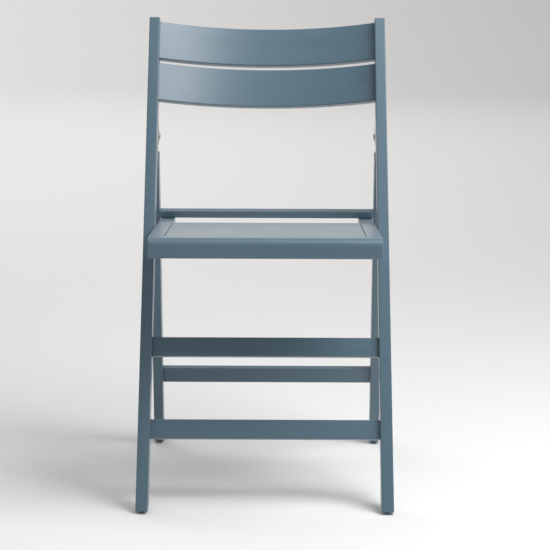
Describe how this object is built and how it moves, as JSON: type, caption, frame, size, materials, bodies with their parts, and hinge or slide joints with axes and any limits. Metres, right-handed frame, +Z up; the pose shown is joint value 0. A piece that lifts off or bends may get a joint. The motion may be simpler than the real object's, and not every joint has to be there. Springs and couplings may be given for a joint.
{
  "type": "folding chair",
  "caption": "Painted wooden folding chair with leaning stiles, bowed back slats, framed flat seat with hooked tails and a hinged rear leg frame.",
  "frame": {"origin": "on the floor, under the middle of the chair's bounding box", "axes": "+Z up, -Y towards the front of the seat, +X to the right of someone facing the chair's front"},
  "size_m": [0.42, 0.5166, 0.7866],
  "materials": {
    "painted_wood": "satin blue-grey paint over beech",
    "bare_beech": "bare wood, hidden in the joints",
    "zinc_steel": "zinc plated",
    "brass_insert": "plain",
    "nylon_washer": "matte",
    "nylon_glide": "matte"
  },
  "bodies": {
    "front_frame": {"right_stile": "painted_wood", "left_stile": "painted_wood", "upper_back_slat": "painted_wood", "lower_back_slat": "painted_wood", "upper_front_rail": "painted_wood", "lower_front_rail": "painted_wood", "right_pivot_plate": "zinc_steel", "left_pivot_plate": "zinc_steel", "pivot_plate_screws": "zinc_steel", "leg_pivot_rivets": "zinc_steel", "leg_pivot_washers": "nylon_washer", "right_front_glide": "nylon_glide", "left_front_glide": "nylon_glide", "front_glide_nails": "zinc_steel"},
    "rear_frame": {"right_rear_leg": "painted_wood", "left_rear_leg": "painted_wood", "hook_bar": "painted_wood", "rear_rail": "painted_wood", "right_rear_glide": "nylon_glide", "left_rear_glide": "nylon_glide", "rear_glide_nails": "zinc_steel"},
    "seat": {"seat_front_rail": "painted_wood", "right_side_rail": "painted_wood", "left_side_rail": "painted_wood", "seat_back_rail": "painted_wood", "seat_panel": "painted_wood", "seat_dowels": "bare_beech", "right_seat_bolt": "zinc_steel", "left_seat_bolt": "zinc_steel", "seat_bolt_inserts": "brass_insert", "seat_pivot_washers": "nylon_washer"}
  },
  "joints": [
    {"name": "seat_fold", "type": "hinge", "parent": "front_frame", "child": "seat", "pos_m": [0, -0.03029, 0.43127], "axis": [-1, 0, 0], "range_deg": [0, 107.5]},
    {"name": "rear_fold", "type": "hinge", "parent": "front_frame", "child": "rear_frame", "pos_m": [0, 0.06703, 0.58543], "axis": [-1, 0, 0], "range_deg": [0, 37.6]}
  ],
  "couplings": [
    {"joint": "rear_fold", "follows": "seat_fold", "ratio": 0.3497}
  ]
}
